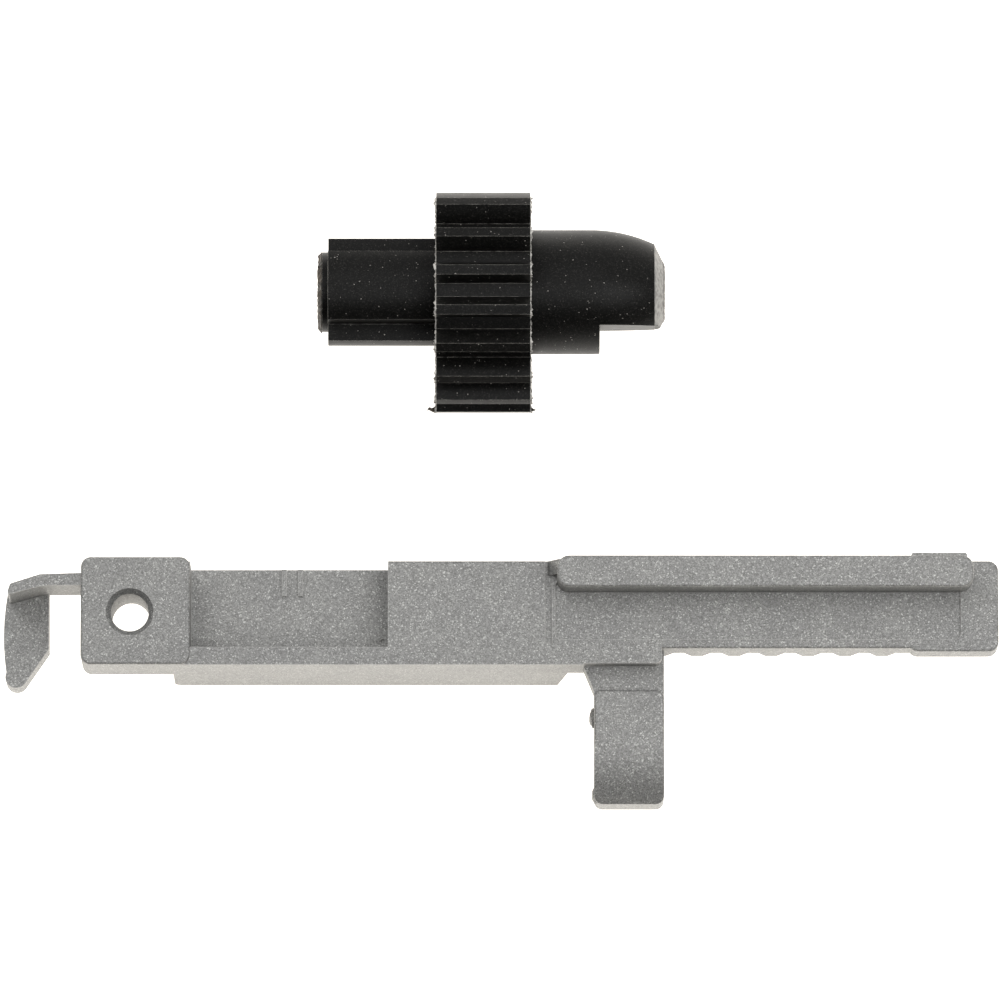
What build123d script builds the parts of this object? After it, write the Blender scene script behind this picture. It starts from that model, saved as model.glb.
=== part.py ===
"""A die-cast rack and its sector pinion, laid side by side on a flat surface.

Millimetres. X runs along the rack, +Z is up, and the origin is the middle of the footprint.
The rack lies on the back of its bar, with its teeth facing down. The pinion lies on the blank
side of its gear, with its axis along X.
"""

from build123d import *
import math
import os

# Gearing: 24 diametral pitch, 20 degree stub teeth
MODULE = 25.4 / 24
PRESSURE_ANGLE = math.radians(20)
ADDENDUM = 0.8 * MODULE
DEDENDUM = 1.0 * MODULE
TOOTH_PITCH = math.pi * MODULE
BACKLASH = 0.08
FULL_CIRCLE_TEETH = 19
PINION_TEETH = 10
RACK_TEETH = 7

PITCH_RADIUS = FULL_CIRCLE_TEETH * MODULE / 2
BASE_RADIUS = PITCH_RADIUS * math.cos(PRESSURE_ANGLE)
TIP_RADIUS = PITCH_RADIUS + ADDENDUM
ROOT_RADIUS = PITCH_RADIUS - DEDENDUM
TOOTH_STEP = 360 / FULL_CIRCLE_TEETH

# Layout
LENGTH = 89.4
LEFT, RIGHT = -LENGTH / 2, LENGTH / 2
AXIS_TO_RACK = 34.56      # pinion axis to the rack's lower side
FOOT_DROP = 12.2
RACK_Y = (FOOT_DROP - ROOT_RADIUS - AXIS_TO_RACK) / 2
PINION_Y = RACK_Y + AXIS_TO_RACK
PINION_Z = ROOT_RADIUS

OVERRUN = 1.0             # how far a shape runs on into its neighbour, or a cut past an edge
EDGE_ROUND = 0.22

# Rack
FRONT = 13.0              # height of the rack's main face, the bar's whole depth
BAR_HEIGHT = 9.4
BAR_LEFT, BAR_RIGHT = -29.4, 6.1
BAR_BACK_ROUND = 0.9
END_SLOPE = 0.9
WEB_DEPTH = 5.2
WEB_RIGHT = 7.5

BLOCK_LEFT, BLOCK_RIGHT = -37.6, -27.8
BLOCK_HEIGHT = 9.75
BLOCK_DEPTH = 6.2
BLOCK_RISE = 0.25         # the block's face stands this far above the bar's
BLOCK_CORNER = 0.9
HOLE_X, HOLE_UP = -33.2, 4.75
HOLE_DIAMETER = 3.4
SINK_DIAMETER = 4.3

POCKET_RIGHT = -10.05
POCKET_DEPTH = 5.45
LEDGE_HEIGHT = 1.6
PIT_X, PIT_UP, PIT_RADIUS = POCKET_RIGHT - 0.5, 2.9, 0.22
POCKET_RIBS = (-19.65, -18.2)
POCKET_RIB_WIDTH, POCKET_RIB_LENGTH, POCKET_RIB_HEIGHT = 0.45, 2.4, 0.35

PLATE_LEFT = 4.4
PLATE_DEPTH = 3.0
PLATE_FOOT = 1.48         # lower edge of the toothed plate above the bar's lower side
PLATE_IN_PAD = 1.5        # how far the plate runs into the end pad, past its corners
BAND_RIGHT = 14.5
BAND_FOOT, BAND_CORNER = 0.12, 0.6
END_PAD_LEFT = 36.6
END_PAD_FOOT = 1.2
END_PAD_DEPTH = 3.4
END_PAD_CORNER = 0.9
FACE_SINK = 0.3
PANEL_LEFT, PANEL_RIGHT = 4.95, RIGHT - 3.4
PANEL_FOOT, PANEL_CORNER = 2.3, 0.5
GROOVE_LEFT, GROOVE_RIGHT, GROOVE_FOOT = 4.05, 4.65, 1.9
FIRST_TOOTH = 14.4

RIB_LEFT, RIB_RIGHT = 5.1, 42.4
RIB_FOOT = 6.57
RIB_RISE = 3.44
RIB_CORNER = 1.1
RIB_PAD_LEFT, RIB_PAD_RIGHT = 36.8, 41.8
RIB_PAD_STANDOFF, RIB_PAD_CORNER = 0.25, 0.2
WEDGE_LEFT, WEDGE_RIGHT = 4.25, 6.3       # the slope up to the rib's left end
WEDGE_WIDTH, WEDGE_DROP = 1.3, 0.8        # its width, and its top below the rib's

NECK_LEFT, NECK_RIGHT = 7.54, 14.72
NECK_SINK = 2.0
NECK_FLARE = 0.7          # the neck widens by this much where it meets the band
NECK_FLARE_TOP = 1.0
NECK_IN_FOOT = 0.8        # how far the neck runs into the foot, past its corners
FOOT_LEFT = 8.44
FOOT_TOP = -2.15
FOOT_SINK = 1.0
FOOT_DEPTH = 5.8
FOOT_CURVE_DROP = 2.5
FOOT_CORNER = 0.75
FOOT_FLAT = 4.0           # length of the foot's flat stretch, above its curve
FOOT_CURVE_END = -FOOT_DROP - 0.5         # just past the foot's edge

# Hook: a thin arm from the block, and a tab that hangs from its far end.
# Its points are (X from the rack's left end, height above the bar's lower side).
ARM_TOP, ARM_FOOT = 8.35, 7.2
ARM_OUTLINE = ((3.4, 8.2), (0.75, 7.35), (0.4, 6.3), (3.25, 7.08), (4.15, ARM_FOOT))
TAB_SHOULDER, TAB_BULGE, TAB_HEEL = (0.35, 7.35), (0, 3.6), (0.25, 0.15)
TAB_TIP, TAB_TOE = (1.15, -1.25), (1.9, -0.9)
TAB_CHAMFER_START, TAB_INNER_TOP = (4.05, 2.25), (4.05, 7.95)
TAB_SINK = 6.0
TAB_DEPTH = 3.3

# Pinion, along its axis
GEAR_LEFT, GEAR_RIGHT = -5.75, 2.75
DRIVE_LEFT = -15.5
DRIVE_RADIUS = 4.85
DRIVE_LEDGE = 1.3         # height of the drive end's ledges above its middle
DRIVE_WIDTH = 6.26
NUB_LEFT, NUB_RADIUS = -16.05, 3.6
JOURNAL_RIGHT = 8.98
JOURNAL_RADIUS = 5.61
TAPER_START, TAPER_END = 8.2, 13.9
TAPER_RADIUS = 4.35
TONGUE_RIGHT, TONGUE_END_RADIUS = 14.7, 2.75
FLAT_OFFSET = 3.23
FLAT_ANGLE = -96.2        # direction that the tongue's flat faces, from +Z towards +Y
FIRST_TOOTH_ANGLE = 38.8
FLANK_POINTS = 4


def up(height):
    """Y of a place on the rack, from its height above the bar's lower side."""
    return RACK_Y + height


def span(left, right, low, high, corner=0.0):
    """A rectangle between two X values and two heights on the rack."""
    with Locations(((left + right) / 2, (up(low) + up(high)) / 2)):
        if corner:
            RectangleRounded(right - left, high - low, corner)
        else:
            Rectangle(right - left, high - low)


def hook_point(point):
    """A place in the hook's outline."""
    return (LEFT + point[0], up(point[1]))


def soften_top(part):
    """Rounds the upper edges of what was just added to a part."""
    fillet(part.edges(Select.LAST).group_by(Axis.Z)[-1], EDGE_ROUND)


def side_plane(height):
    """X-Z plane at a height on the rack; a negative extrusion goes towards +Y."""
    return Plane(origin=(0, up(height), 0), x_dir=(1, 0, 0), z_dir=(0, -1, 0))


def pinion_plane(x, angle=0.0):
    """Plane across the pinion's axis; local Y points at an angle from +Z towards +Y."""
    turn = math.radians(angle)
    return Plane(
        origin=(x, PINION_Y, PINION_Z),
        x_dir=(0, math.cos(turn), -math.sin(turn)),
        z_dir=(1, 0, 0),
    )


def involute(angle):
    return math.tan(angle) - angle


def flank_point(radius, side):
    """A point on a pinion tooth's involute flank, for a tooth that points along local Y."""
    half = math.pi / 2 / FULL_CIRCLE_TEETH + involute(PRESSURE_ANGLE)
    half -= involute(math.acos(BASE_RADIUS / radius)) + BACKLASH / 2 / PITCH_RADIUS
    return (side * radius * math.sin(half), radius * math.cos(half))


def rack_tooth_half(depth):
    """Half the rack tooth's thickness at a depth below the plate's root face."""
    return (TOOTH_PITCH - BACKLASH) / 4 - (depth - DEDENDUM) * math.tan(PRESSURE_ANGLE)


os.makedirs("parts", exist_ok=True)

with BuildPart() as rack:
    # bar, with a slope where it thins into the web behind the foot
    with BuildSketch(side_plane(0)):
        with BuildLine():
            Polyline(
                (BAR_LEFT, 0), (BAR_RIGHT - END_SLOPE, 0), (BAR_RIGHT, FRONT - WEB_DEPTH),
                (WEB_RIGHT, FRONT - WEB_DEPTH), (WEB_RIGHT, FRONT), (BAR_LEFT, FRONT),
                close=True,
            )
        make_face()
    extrude(amount=-BAR_HEIGHT)
    back_corner = rack.edges().filter_by(Axis.Y).group_by(Axis.Z)[0].sort_by(Axis.X)[0]
    fillet(back_corner, BAR_BACK_ROUND)

    # toothed plate, its lower band and its thicker end
    with BuildSketch(Plane.XY.offset(FRONT)):
        span(PLATE_LEFT, END_PAD_LEFT + PLATE_IN_PAD, PLATE_FOOT, BAR_HEIGHT)
        span(PLATE_LEFT, BAND_RIGHT, BAND_FOOT, PLATE_FOOT + OVERRUN, BAND_CORNER)
    extrude(amount=-PLATE_DEPTH)
    with BuildSketch(Plane.XY.offset(FRONT)):
        span(END_PAD_LEFT, RIGHT, END_PAD_FOOT, BAR_HEIGHT, END_PAD_CORNER)
    extrude(amount=-END_PAD_DEPTH)
    soften_top(rack)

    # teeth, on the underside of the plate
    tooth_depth = ADDENDUM + DEDENDUM
    root, tip = rack_tooth_half(0), rack_tooth_half(tooth_depth)
    with BuildSketch(side_plane(PLATE_FOOT)):
        tooth_middles = [FIRST_TOOTH + TOOTH_PITCH * i for i in range(RACK_TEETH)]
        with Locations(*[(middle, FRONT - PLATE_DEPTH) for middle in tooth_middles]):
            Polygon(
                (-root, OVERRUN), (-root, 0), (-tip, -tooth_depth),
                (tip, -tooth_depth), (root, 0), (root, OVERRUN), align=None,
            )
    extrude(amount=PLATE_FOOT - BAR_HEIGHT)

    # shallow panel on the plate's face, and the groove beside it
    with BuildSketch(Plane.XY.offset(FRONT)):
        span(PANEL_LEFT, PANEL_RIGHT, PANEL_FOOT, RIB_FOOT + OVERRUN, PANEL_CORNER)
        span(GROOVE_LEFT, GROOVE_RIGHT, GROOVE_FOOT, BAR_HEIGHT)
    extrude(amount=-FACE_SINK, mode=Mode.SUBTRACT)

    # rib along the plate's upper edge, with its thicker end and the slope up to it
    with BuildSketch(Plane.XY.offset(FRONT - FACE_SINK)):
        span(RIB_LEFT, RIB_RIGHT, RIB_FOOT, BAR_HEIGHT, RIB_CORNER)
    extrude(amount=RIB_RISE + FACE_SINK)
    soften_top(rack)
    with BuildSketch(Plane.XY.offset(FRONT - FACE_SINK)):
        span(RIB_PAD_LEFT, RIB_PAD_RIGHT, BAR_HEIGHT - OVERRUN,
             BAR_HEIGHT + RIB_PAD_STANDOFF, RIB_PAD_CORNER)
    extrude(amount=RIB_RISE + FACE_SINK - EDGE_ROUND)
    with BuildSketch(side_plane(BAR_HEIGHT - WEDGE_WIDTH)):
        with BuildLine():
            Polyline(
                (WEDGE_LEFT, FRONT - FACE_SINK), (WEDGE_RIGHT, FRONT - FACE_SINK),
                (WEDGE_RIGHT, FRONT + RIB_RISE - WEDGE_DROP), close=True,
            )
        make_face()
    extrude(amount=-WEDGE_WIDTH)

    # mounting block with its countersunk pin hole
    with BuildSketch(Plane.XY.offset(FRONT + BLOCK_RISE)):
        span(BLOCK_LEFT, BLOCK_RIGHT, 0, BLOCK_HEIGHT, BLOCK_CORNER)
    extrude(amount=-BLOCK_RISE - BLOCK_DEPTH)
    soften_top(rack)

    # arm and tab of the hook
    with BuildSketch(Plane.XY.offset(FRONT)):
        with BuildLine():
            Polyline(
                (BLOCK_LEFT + OVERRUN, up(ARM_TOP)), *map(hook_point, ARM_OUTLINE),
                (BLOCK_LEFT + OVERRUN, up(ARM_FOOT)), close=True,
            )
        make_face()
    extrude(amount=-BLOCK_DEPTH)
    with BuildSketch(Plane.XY.offset(FRONT - TAB_SINK)):
        with BuildLine():
            ThreePointArc(*map(hook_point, (TAB_SHOULDER, TAB_BULGE, TAB_HEEL)))
            ThreePointArc(*map(hook_point, (TAB_HEEL, TAB_TIP, TAB_TOE)))
            Polyline(*map(hook_point, (TAB_TOE, TAB_CHAMFER_START, TAB_INNER_TOP, TAB_SHOULDER)))
        make_face()
    extrude(amount=-TAB_DEPTH)
    soften_top(rack)

    # neck and foot
    with BuildSketch(Plane.XY.offset(FRONT - NECK_SINK)):
        with BuildLine():
            Polyline(
                (NECK_LEFT - NECK_FLARE, up(NECK_FLARE_TOP)), (NECK_LEFT, up(0)),
                (FOOT_LEFT, up(FOOT_TOP)), (FOOT_LEFT, up(FOOT_TOP - NECK_IN_FOOT)),
                (NECK_RIGHT, up(FOOT_TOP - NECK_IN_FOOT)), (NECK_RIGHT, up(PLATE_FOOT)),
                (NECK_LEFT - NECK_FLARE, up(PLATE_FOOT)), close=True,
            )
        make_face()
    extrude(amount=NECK_SINK - WEB_DEPTH)
    with BuildSketch(Plane.XY.offset(FRONT - FOOT_SINK)):
        span(FOOT_LEFT, NECK_RIGHT, -FOOT_DROP, FOOT_TOP, FOOT_CORNER)
    extrude(amount=-FOOT_DEPTH)
    soften_top(rack)
    with BuildSketch(Plane.YZ.offset(FOOT_LEFT - OVERRUN)):
        with BuildLine():
            curve_start = (up(FOOT_TOP - FOOT_FLAT), FRONT - FOOT_SINK)
            curve_end = (up(FOOT_CURVE_END), FRONT - FOOT_SINK - FOOT_CURVE_DROP)
            TangentArc(curve_start, curve_end, tangent=(-1, 0))
            Polyline(curve_end, (curve_end[0], FRONT), (curve_start[0], FRONT), curve_start)
        make_face()
    extrude(amount=NECK_RIGHT - FOOT_LEFT + 2 * OVERRUN, mode=Mode.SUBTRACT)

    # weight-saving pocket, open at the top, with two small ribs on its floor
    with BuildSketch(Plane.XY.offset(FRONT)):
        span(BLOCK_RIGHT, POCKET_RIGHT, LEDGE_HEIGHT, BAR_HEIGHT + OVERRUN)
    extrude(amount=-POCKET_DEPTH, mode=Mode.SUBTRACT)
    with BuildSketch(Plane.XY.offset(FRONT - POCKET_DEPTH)):
        for rib_x in POCKET_RIBS:
            span(rib_x, rib_x + POCKET_RIB_WIDTH, BAR_HEIGHT - POCKET_RIB_LENGTH, BAR_HEIGHT)
    extrude(amount=POCKET_RIB_HEIGHT)

    # small casting pit at the pocket's right end
    with BuildSketch(Plane.XY.offset(FRONT - POCKET_DEPTH)):
        with Locations((PIT_X, up(PIT_UP))):
            Circle(PIT_RADIUS)
    extrude(amount=-PIT_RADIUS, mode=Mode.SUBTRACT)

    # pin hole
    with Locations((HOLE_X, up(HOLE_UP), FRONT + BLOCK_RISE)):
        CounterSinkHole(HOLE_DIAMETER / 2, SINK_DIAMETER / 2, depth=BLOCK_DEPTH + BLOCK_RISE)

with BuildPart() as pinion:
    # sector gear: a blank disc at the root radius, with teeth round part of it
    with BuildSketch(pinion_plane(GEAR_LEFT)):
        Circle(ROOT_RADIUS)
    extrude(amount=GEAR_RIGHT - GEAR_LEFT)
    flank_step = (TIP_RADIUS - BASE_RADIUS) / (FLANK_POINTS - 1)
    radii = [BASE_RADIUS + flank_step * i for i in range(FLANK_POINTS)]
    left_flank = [flank_point(radius, -1) for radius in radii]
    right_flank = [flank_point(radius, 1) for radius in reversed(radii)]
    inside = ROOT_RADIUS - OVERRUN
    for tooth in range(PINION_TEETH):
        with BuildSketch(pinion_plane(GEAR_LEFT, FIRST_TOOTH_ANGLE - TOOTH_STEP * tooth)):
            with BuildLine():
                Line((left_flank[0][0], inside), left_flank[0])
                Spline(*left_flank)
                ThreePointArc(left_flank[-1], (0, TIP_RADIUS), right_flank[0])
                Spline(*right_flank)
                Line(right_flank[-1], (right_flank[-1][0], inside))
                Line((right_flank[-1][0], inside), (left_flank[0][0], inside))
            make_face()
        extrude(amount=GEAR_RIGHT - GEAR_LEFT)

    # drive end: round, with a ledge along each of its four corners, and a short nub
    with BuildSketch(pinion_plane(DRIVE_LEFT)):
        Circle(DRIVE_RADIUS)
        with GridLocations(DRIVE_WIDTH + DRIVE_RADIUS, 2 * DRIVE_LEDGE + DRIVE_RADIUS, 2, 2):
            Rectangle(DRIVE_RADIUS, DRIVE_RADIUS, mode=Mode.SUBTRACT)
    extrude(amount=GEAR_LEFT - DRIVE_LEFT + OVERRUN)
    with BuildSketch(pinion_plane(NUB_LEFT)):
        Circle(NUB_RADIUS)
    extrude(amount=DRIVE_LEFT - NUB_LEFT)

    # journal and half-moon tongue, turned as one
    with BuildSketch(Plane(origin=(0, PINION_Y, PINION_Z), x_dir=(1, 0, 0), z_dir=(0, -1, 0))):
        with BuildLine():
            start = GEAR_RIGHT - OVERRUN
            Polyline((start, 0), (start, JOURNAL_RADIUS), (TAPER_START, JOURNAL_RADIUS))
            TangentArc((TAPER_START, JOURNAL_RADIUS), (TAPER_END, TAPER_RADIUS), tangent=(1, 0))
            Polyline(
                (TAPER_END, TAPER_RADIUS), (TONGUE_RIGHT, TONGUE_END_RADIUS),
                (TONGUE_RIGHT, 0), (start, 0),
            )
        make_face()
    revolve(axis=Axis((0, PINION_Y, PINION_Z), (1, 0, 0)))

    # flat side of the tongue
    with BuildSketch(pinion_plane(JOURNAL_RIGHT, FLAT_ANGLE)):
        with Locations((0, FLAT_OFFSET + JOURNAL_RADIUS)):
            Rectangle(4 * JOURNAL_RADIUS, 2 * JOURNAL_RADIUS)
    extrude(amount=TONGUE_RIGHT - JOURNAL_RIGHT + OVERRUN, mode=Mode.SUBTRACT)

for name, piece in (("rack", rack), ("pinion", pinion)):
    piece.part.label = name
    export_step(piece.part, f"parts/{name}.step")
    print(name, piece.part.volume, piece.part.bounding_box(), len(piece.part.solids()))
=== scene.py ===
"""Looks, light and camera for the rack and its loose sector pinion. Metres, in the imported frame."""

import math
import random

import bpy
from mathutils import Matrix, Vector


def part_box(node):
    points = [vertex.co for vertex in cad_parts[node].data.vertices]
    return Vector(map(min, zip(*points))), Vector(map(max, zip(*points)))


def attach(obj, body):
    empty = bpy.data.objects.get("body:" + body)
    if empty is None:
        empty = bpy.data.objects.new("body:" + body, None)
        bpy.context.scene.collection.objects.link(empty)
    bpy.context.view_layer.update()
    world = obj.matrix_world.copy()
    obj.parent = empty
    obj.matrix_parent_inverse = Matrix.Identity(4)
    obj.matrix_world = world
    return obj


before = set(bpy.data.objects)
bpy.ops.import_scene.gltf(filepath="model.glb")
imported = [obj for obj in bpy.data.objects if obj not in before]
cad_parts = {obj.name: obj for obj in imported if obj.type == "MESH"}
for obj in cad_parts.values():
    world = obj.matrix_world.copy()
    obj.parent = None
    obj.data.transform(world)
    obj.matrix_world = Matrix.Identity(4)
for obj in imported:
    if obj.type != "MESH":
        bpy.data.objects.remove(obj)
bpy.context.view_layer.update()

MM = 0.001
rack_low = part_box("rack")[0]
pinion_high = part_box("pinion")[1]

# Gear, as the CAD model has it. Angles run from +Z towards +Y, in degrees.
MODULE = 25.4 / 24 * MM
PRESSURE_ANGLE = math.radians(20)
FULL_CIRCLE_TEETH = 19
PINION_TEETH = 10
PITCH_RADIUS = FULL_CIRCLE_TEETH * MODULE / 2
BASE_RADIUS = PITCH_RADIUS * math.cos(PRESSURE_ANGLE)
TIP_RADIUS = PITCH_RADIUS + 0.8 * MODULE
ROOT_RADIUS = PITCH_RADIUS - MODULE
TOOTH_STEP = 360 / FULL_CIRCLE_TEETH
FIRST_TOOTH_ANGLE = 38.8
LOW_TOOTH_ANGLE = FIRST_TOOTH_ANGLE - 7 * TOOTH_STEP
OUTLINE_RADII = (ROOT_RADIUS, 9.5 * MM, 10.2 * MM, TIP_RADIUS)
GEAR_LEFT, GEAR_RIGHT = -5.75 * MM, 2.75 * MM

# The rest of the pinion
AXIS_Y = pinion_high.y - ROOT_RADIUS
AXIS_Z = ROOT_RADIUS
NUB_LEFT, NUB_RADIUS = -16.05 * MM, 3.6 * MM
TAPER_END, TAPER_RADIUS = 13.9 * MM, 4.35 * MM
TONGUE_RIGHT, TONGUE_END_RADIUS = pinion_high.x, 2.75 * MM
FLAT_ANGLE, FLAT_OFFSET = -96.2, 3.23 * MM

# Rack's foot
FOOT_LEFT = 8.44 * MM
FOOT_LOW = rack_low.y
FLASH_HEIGHT = 9.0 * MM


# ---- materials ----

def new_material(name):
    material = bpy.data.materials.new(name)
    material.use_nodes = True
    nodes = material.node_tree.nodes
    return material, nodes, material.node_tree.links, nodes["Principled BSDF"]


def ramp(nodes, links, factor, stops):
    """A colour that follows a factor through (place, colour) stops."""
    node = nodes.new("ShaderNodeValToRGB")
    elements = node.color_ramp.elements
    while len(elements) < len(stops):
        elements.new(0.5)
    for element, (place, colour) in zip(elements, stops):
        element.position = place
        element.color = (*colour, 1)
    links.new(factor, node.inputs["Fac"])
    return node.outputs["Color"]


def map_range(nodes, links, source, low, high, new_low=0.0, new_high=1.0):
    node = nodes.new("ShaderNodeMapRange")
    node.inputs["From Min"].default_value = low
    node.inputs["From Max"].default_value = high
    node.inputs["To Min"].default_value = new_low
    node.inputs["To Max"].default_value = new_high
    links.new(source, node.inputs["Value"])
    return node.outputs["Result"]


def noise(nodes, links, place, scale, detail):
    """Cloudy noise; its scale is in clouds to the metre."""
    node = nodes.new("ShaderNodeTexNoise")
    node.inputs["Scale"].default_value = scale
    node.inputs["Detail"].default_value = detail
    links.new(place.outputs["Object"], node.inputs["Vector"])
    return node.outputs["Fac"]


def grains(nodes, links, place, scale):
    """Cells like metal crystals, so many to the metre: two random values and a distance."""
    node = nodes.new("ShaderNodeTexVoronoi")
    node.inputs["Scale"].default_value = scale
    links.new(place.outputs["Object"], node.inputs["Vector"])
    value = nodes.new("ShaderNodeSeparateColor")
    links.new(node.outputs["Color"], value.inputs["Color"])
    return value.outputs["Red"], value.outputs["Green"], node.outputs["Distance"]


def bump(nodes, links, shader, source, distance, strength):
    node = nodes.new("ShaderNodeBump")
    node.inputs["Distance"].default_value = distance
    node.inputs["Strength"].default_value = strength
    links.new(source, node.inputs["Height"])
    links.new(node.outputs["Normal"], shader.inputs["Normal"])


def edge_wear_and_highlight(nodes, links, radius, low, high):
    """A factor that rises where the surface turns sharply: paler edges, partly wear as on a rubbed
    edge and partly painted highlight.
    """
    rounded = nodes.new("ShaderNodeBevel")
    rounded.samples = 6
    rounded.inputs["Radius"].default_value = radius
    flat = nodes.new("ShaderNodeNewGeometry")
    agree = nodes.new("ShaderNodeVectorMath")
    agree.operation = "DOT_PRODUCT"
    links.new(rounded.outputs["Normal"], agree.inputs[0])
    links.new(flat.outputs["Normal"], agree.inputs[1])
    return map_range(nodes, links, agree.outputs["Value"], high, low)


def mix_node(nodes, kind):
    mix = nodes.new("ShaderNodeMix")
    mix.data_type, mix.blend_type = "RGBA", kind
    return mix


def multiply_colours(nodes, links, first, second):
    mix = mix_node(nodes, "MULTIPLY")
    mix.inputs["Factor"].default_value = 1.0
    links.new(first, mix.inputs["A"])
    links.new(second, mix.inputs["B"])
    return mix.outputs["Result"]


def fade_to(nodes, links, factor, first, colour):
    mix = mix_node(nodes, "MIX")
    links.new(factor, mix.inputs["Factor"])
    links.new(first, mix.inputs["A"])
    mix.inputs["B"].default_value = (*colour, 1)
    return mix.outputs["Result"]


def cast_alloy():
    """Grey alloy with the fine sparkling grain of a die casting, and paler edges that are partly
    rubbed wear and partly painted highlight.
    """
    material, nodes, links, shader = new_material("cast_alloy")
    place = nodes.new("ShaderNodeTexCoord")
    tint, gloss, crystal = grains(nodes, links, place, 10500)
    grain = ramp(nodes, links, tint, [
        (0.0, (0.200, 0.198, 0.192)), (0.35, (0.275, 0.274, 0.268)),
        (0.8, (0.345, 0.343, 0.335)), (0.93, (0.43, 0.43, 0.415)), (1.0, (0.68, 0.68, 0.66)),
    ])
    clouds = noise(nodes, links, place, 260, 5)
    tone = ramp(nodes, links, clouds, [(0.3, (0.88, 0.88, 0.88)), (0.7, (1.0, 1.0, 0.99))])
    toned = multiply_colours(nodes, links, grain, tone)
    # Paler edges: partly rubbed wear, partly a painted highlight along every sharp edge.
    worn_and_highlit = edge_wear_and_highlight(nodes, links, 0.10 * MM, 0.80, 0.985)
    colour = fade_to(nodes, links, worn_and_highlit, toned, (0.50, 0.49, 0.47))
    links.new(colour, shader.inputs["Base Color"])
    links.new(map_range(nodes, links, gloss, 0, 1, 0.40, 0.60), shader.inputs["Roughness"])
    shader.inputs["Metallic"].default_value = 0.45
    bump(nodes, links, shader, crystal, 0.02 * MM, 0.35)
    return material


def blackened_metal():
    """Satin black with fine grain, a few pale specks, and pale edges that are partly rubbed bare
    metal and partly painted highlight.
    """
    material, nodes, links, shader = new_material("blackened_metal")
    place = nodes.new("ShaderNodeTexCoord")
    tint, _, crystal = grains(nodes, links, place, 12500)
    grain = ramp(nodes, links, tint, [
        (0.0, (0.003, 0.003, 0.003)), (0.75, (0.007, 0.007, 0.006)),
        (0.97, (0.020, 0.019, 0.018)), (0.9992, (0.040, 0.037, 0.034)), (1.0, (0.42, 0.40, 0.37)),
    ])
    patches = noise(nodes, links, place, 1500, 3)
    patchy = ramp(nodes, links, patches, [(0.34, (0.15, 0.15, 0.15)), (0.55, (1, 1, 1))])
    bare_and_highlit = nodes.new("ShaderNodeMath")
    bare_and_highlit.operation = "MULTIPLY"
    # Pale edges in patches: partly bare rubbed metal, partly a painted highlight along the sharp
    # edges.
    links.new(edge_wear_and_highlight(nodes, links, 0.10 * MM, 0.84, 0.98), bare_and_highlit.inputs[0])
    links.new(patchy, bare_and_highlit.inputs[1])
    colour = fade_to(nodes, links, bare_and_highlit.outputs["Value"], grain, (0.34, 0.33, 0.30))
    links.new(colour, shader.inputs["Base Color"])
    clouds = noise(nodes, links, place, 900, 4)
    links.new(map_range(nodes, links, clouds, 0, 1, 0.34, 0.48), shader.inputs["Roughness"])
    shader.inputs["Specular IOR Level"].default_value = 0.15
    bump(nodes, links, shader, crystal, 0.012 * MM, 0.35)
    return material


def torn_metal(name, dark, light, scale):
    """Bare torn edge or broken face, mottled from dark to light."""
    material, nodes, links, shader = new_material(name)
    place = nodes.new("ShaderNodeTexCoord")
    mottle = noise(nodes, links, place, scale, 4)
    colour = ramp(nodes, links, mottle, [(0.35, dark), (0.65, light)])
    links.new(colour, shader.inputs["Base Color"])
    shader.inputs["Roughness"].default_value = 0.6
    bump(nodes, links, shader, mottle, 0.05 * MM, 0.6)
    return material


alloy = cast_alloy()
black = blackened_metal()
burr_material = torn_metal("bare_burr", (0.16, 0.15, 0.14), (0.75, 0.73, 0.68), 3000)
break_material = torn_metal("broken_gate", (0.012, 0.010, 0.008), (0.085, 0.068, 0.050), 1500)
pale_break = torn_metal("pale_break", (0.20, 0.195, 0.185), (0.38, 0.37, 0.35), 2600)

for node_name, material in (("rack", alloy), ("pinion", black)):
    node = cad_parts[node_name]
    if not node.material_slots:
        node.data.materials.append(material)
    for slot in node.material_slots:
        slot.material = material


# ---- pieces on the pinion ----

def pinion_piece(name, vertices, faces, material, smooth=False):
    """A mesh that turns with the pinion."""
    mesh = bpy.data.meshes.new(name)
    mesh.from_pydata(vertices, [], faces)
    mesh.validate()
    mesh.materials.append(material)
    for polygon in mesh.polygons:
        polygon.use_smooth = smooth
    piece = bpy.data.objects.new(name, mesh)
    bpy.context.scene.collection.objects.link(piece)
    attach(piece, "pinion")


def around_axis(x, radius, angle):
    """A point about the pinion's axis."""
    turn = math.radians(angle)
    return Vector((x, AXIS_Y + radius * math.sin(turn), AXIS_Z + radius * math.cos(turn)))


def within_flat(radius, angle, offset):
    """A radius, cut short where the tongue's flat side passes at an offset from the axis."""
    facing = math.cos(math.radians(angle - FLAT_ANGLE))
    return min(radius, offset / facing) if facing > 0.05 else radius


def bridge(first, second, around):
    """Faces between two rings of vertices, given by the number of each ring's first."""
    return [
        (first + step, second + step, second + (step + 1) % around, first + (step + 1) % around)
        for step in range(around)
    ]


def involute(angle):
    return math.tan(angle) - angle


def half_angle(radius):
    """Half of a pinion tooth's angle at a radius, in degrees."""
    half = math.pi / 2 / FULL_CIRCLE_TEETH + involute(PRESSURE_ANGLE)
    return math.degrees(half - involute(math.acos(BASE_RADIUS / max(radius, BASE_RADIUS))))


def tooth_outline():
    """The toothed part of the gear's outline, as (radius, angle) points."""
    points = []
    for tooth in range(PINION_TEETH):
        centre = FIRST_TOOTH_ANGLE - TOOTH_STEP * tooth
        points += [(radius, centre + half_angle(radius)) for radius in OUTLINE_RADII]
        points += [(radius, centre - half_angle(radius)) for radius in reversed(OUTLINE_RADII)]
    return points


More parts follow.
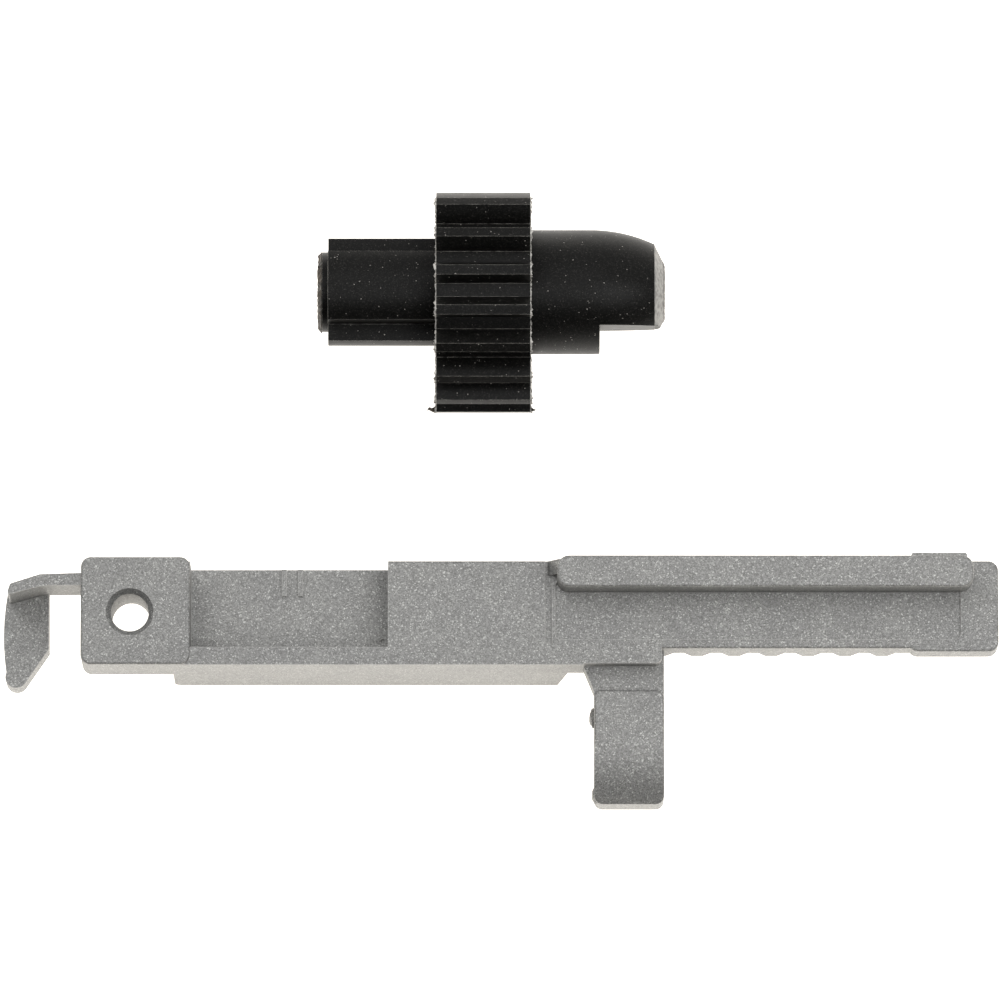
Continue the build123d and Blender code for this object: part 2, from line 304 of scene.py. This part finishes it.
def burr_line(name, x, side, seed):
    """A closed ragged fin of torn metal along the tooth outline at one end of the gear."""
    spacing, root_depth, near_tip = 0.16 * MM, 0.10 * MM, 10.5 * MM
    rng = random.Random(seed)
    outline = tooth_outline()
    path = []
    for (r0, a0), (r1, a1) in zip(outline, outline[1:]):
        steps = max(1, round(math.hypot(r1 - r0, math.radians(a1 - a0) * r0) / spacing))
        path += [(r0 + (r1 - r0) * i / steps, a0 + (a1 - a0) * i / steps) for i in range(steps)]
    path.append(outline[-1])

    vertices, faces = [], []
    for radius, angle in path:
        reach = side * rng.uniform(0.02, 0.16) * MM * (1.6 if radius > near_tip else 0.8)
        lift = rng.uniform(0.0, 0.07) * MM
        inner, outer = radius - root_depth, radius + 0.012 * MM
        vertices += [
            around_axis(x - side * 0.03 * MM, inner, angle),
            around_axis(x - side * 0.03 * MM, outer, angle),
            around_axis(x + reach, outer + lift, angle),
            around_axis(x + reach * 0.6, inner + root_depth / 2, angle),
        ]
    corners = 4
    for i in range(len(path) - 1):
        a, b = corners * i, corners * (i + 1)
        for j in range(corners):
            k = (j + 1) % corners
            faces.append((a + j, a + k, b + k, b + j))
    last = corners * (len(path) - 1)
    faces += [(3, 2, 1, 0), (last, last + 1, last + 2, last + 3)]
    pinion_piece(name, vertices, faces, burr_material)


def torn_flake(name, x, side, size, seed):
    """A larger torn flake that clings to the end of the lowest tooth in view."""
    rings, around = 7, 8
    rng = random.Random(seed)
    vertices = []
    for ring in range(rings):
        along = ring / (rings - 1)
        girth = size * 0.32 * (1 - along) ** 0.7 + 0.02 * MM
        centre = around_axis(x + side * size * along, TIP_RADIUS - 0.25 * MM, LOW_TOOTH_ANGLE)
        centre += Vector((0, rng.uniform(-1, 1), rng.uniform(-1, 1))) * size * 0.16 * along
        for step in range(around):
            turn = math.tau * step / around
            reach = girth * rng.uniform(0.6, 1.35)
            vertices.append(centre + Vector((0, math.cos(turn), math.sin(turn))) * reach)
    faces = []
    for ring in range(rings - 1):
        a, b = ring * around, (ring + 1) * around
        for step in range(around):
            after = (step + 1) % around
            faces.append((a + step, a + after, b + after, b + step))
    faces += [tuple(reversed(range(around))), tuple(range((rings - 1) * around, rings * around))]
    pinion_piece(name, vertices, faces, break_material)


def rough_disc(name, x, side, radius, relief, material, seed, flat_offset=None):
    """A closed disc with a torn outer face and a ragged rim, for a broken-off end."""
    rings, around, sunk = 12, 64, 0.1 * MM
    rng = random.Random(seed)

    def point(place, reach, angle):
        if flat_offset is not None:
            reach = within_flat(reach, angle, flat_offset)
        return around_axis(place, reach, angle)

    angles = [360 * step / around for step in range(around)]
    vertices = [around_axis(x + side * relief * 0.6, 0, 0)]
    for ring in range(1, rings + 1):
        for angle in angles:
            reach = radius * ring / rings
            ragged = rng.uniform(-0.05, 0.04) * radius if ring == rings else 0
            height = relief * rng.uniform(0.25, 1.0) if ring < rings else relief * 0.15
            vertices.append(point(x + side * height, reach + ragged, angle))
    back = len(vertices)
    vertices += [point(x - side * sunk, radius * 0.97, angle) for angle in angles]
    vertices.append(around_axis(x - side * sunk, 0, 0))

    faces = []
    for step in range(around):
        after = (step + 1) % around
        faces.append((0, 1 + step, 1 + after))
        faces.append((back + step, back + around, back + after))
    for ring in range(rings - 1):
        faces += bridge(1 + ring * around, 1 + (ring + 1) * around, around)
    faces += bridge(1 + (rings - 1) * around, back, around)
    pinion_piece(name, vertices, faces, material)


def worn_cone(name):
    """A thin closed shell of bare metal over the cone at the tongue's end, cut by its flat."""
    rings, around = 8, 96
    over, under = 0.02 * MM, -0.05 * MM
    vertices = []
    for layer in (over, under):
        for ring in range(rings):
            along = ring / (rings - 1)
            x = TAPER_END + (TONGUE_RIGHT - TAPER_END) * along
            radius = TAPER_RADIUS + (TONGUE_END_RADIUS - TAPER_RADIUS) * along + layer
            for step in range(around):
                angle = 360 * step / around
                reach = within_flat(radius, angle, FLAT_OFFSET + 0.01 * MM)
                vertices.append(around_axis(x, reach, angle))
    inner = rings * around
    last = (rings - 1) * around
    faces = []
    for ring in range(rings - 1):
        a, b = ring * around, (ring + 1) * around
        faces += bridge(a, b, around)
        faces += bridge(inner + b, inner + a, around)
    faces += bridge(inner, 0, around)
    faces += bridge(last, inner + last, around)
    pinion_piece(name, vertices, faces, pale_break, smooth=True)


burr_line("gear_burr_left", GEAR_LEFT, -1, seed=11)
burr_line("gear_burr_right", GEAR_RIGHT, 1, seed=12)
torn_flake("torn_flake_left", GEAR_LEFT, -1, 0.85 * MM, seed=21)
torn_flake("torn_flake_right", GEAR_RIGHT, 1, 0.5 * MM, seed=22)
rough_disc("broken_gate_face", NUB_LEFT, -1, NUB_RADIUS, 0.45 * MM, break_material, seed=31)
rough_disc("tongue_end_face", TONGUE_RIGHT, 1, TONGUE_END_RADIUS, 0.22 * MM, pale_break, seed=32,
           flat_offset=FLAT_OFFSET - 0.05 * MM)
worn_cone("tongue_end_cone")


# ---- pieces on the rack ----

def flash_bump(name, inset, height, length, seed):
    """A small lump of casting flash on the left side of the rack's foot."""
    centre = Vector((FOOT_LEFT + inset, FOOT_LOW + height, FLASH_HEIGHT))
    size = (0.42 * MM, length, 0.8 * MM)
    rng = random.Random(seed)
    bpy.ops.mesh.primitive_ico_sphere_add(subdivisions=3, radius=1)
    piece = bpy.context.object
    piece.name = name
    for vertex in piece.data.vertices:
        vertex.co = Vector(c * s for c, s in zip(vertex.co * rng.uniform(0.9, 1.1), size))
        vertex.co += centre
    piece.data.materials.append(alloy)
    for polygon in piece.data.polygons:
        polygon.use_smooth = True
    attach(piece, "rack")


flash_bump("foot_flash_upper", inset=0, height=7.9 * MM, length=0.9 * MM, seed=41)
flash_bump("foot_flash_lower", inset=0.2 * MM, height=0.9 * MM, length=0.75 * MM, seed=42)


# ---- floor, light and camera ----

def make_floor():
    """A pale floor that glows a little, so that it stays near white as under a light box."""
    bpy.ops.mesh.primitive_plane_add(size=6, location=(0, 0, 0))
    floor = bpy.context.object
    floor.name = "floor"
    material, _, _, shader = new_material("pale_floor")
    shader.inputs["Base Color"].default_value = (0.9, 0.89, 0.87, 1)
    shader.inputs["Roughness"].default_value = 0.9
    shader.inputs["Emission Color"].default_value = (1.0, 0.955, 0.885, 1)
    shader.inputs["Emission Strength"].default_value = 1.25
    floor.data.materials.append(material)


def area_light(name, place, size, power):
    """A square light that points at the middle of the floor."""
    data = bpy.data.lights.new(name, "AREA")
    data.shape, data.size, data.energy = "SQUARE", size, power
    light = bpy.data.objects.new(name, data)
    light.location = place
    light.rotation_euler = (-Vector(place)).to_track_quat("-Z", "Y").to_euler()
    bpy.context.scene.collection.objects.link(light)


def make_camera():
    """A long lens, tilted a little from straight down towards the rack's lower side."""
    tilt = math.radians(9)
    distance, view_width = 1.2, 89.77 * MM
    aim = Vector((0, -0.75 * MM, 13 * MM))
    data = bpy.data.cameras.new("camera")
    data.sensor_width = 36
    data.lens = data.sensor_width * distance / view_width
    data.clip_start, data.clip_end = 0.01, 20
    camera = bpy.data.objects.new("camera", data)
    camera.location = aim + distance * Vector((0, -math.sin(tilt), math.cos(tilt)))
    camera.rotation_euler = (aim - camera.location).to_track_quat("-Z", "Y").to_euler()
    bpy.context.scene.collection.objects.link(camera)
    bpy.context.scene.camera = camera


def make_world():
    """Soft white room, darker low on the side that the rack's foot points to."""
    world = bpy.data.worlds.new("studio")
    world.use_nodes = True
    nodes, links = world.node_tree.nodes, world.node_tree.links
    direction = nodes.new("ShaderNodeTexCoord")
    split = nodes.new("ShaderNodeSeparateXYZ")
    links.new(direction.outputs["Generated"], split.inputs["Vector"])
    shade = map_range(nodes, links, split.outputs["Y"], -0.7, 0.6, 0.0, 0.75)
    background = nodes["Background"]
    background.inputs["Color"].default_value = (1, 1, 1, 1)
    links.new(shade, background.inputs["Strength"])
    bpy.context.scene.world = world


make_floor()
area_light("key", (-0.20, 0.25, 0.58), size=0.30, power=0.7)
area_light("fill", (0.20, -0.12, 0.62), size=0.40, power=1.7)
make_camera()
make_world()
bpy.context.scene.view_settings.view_transform = "Standard"
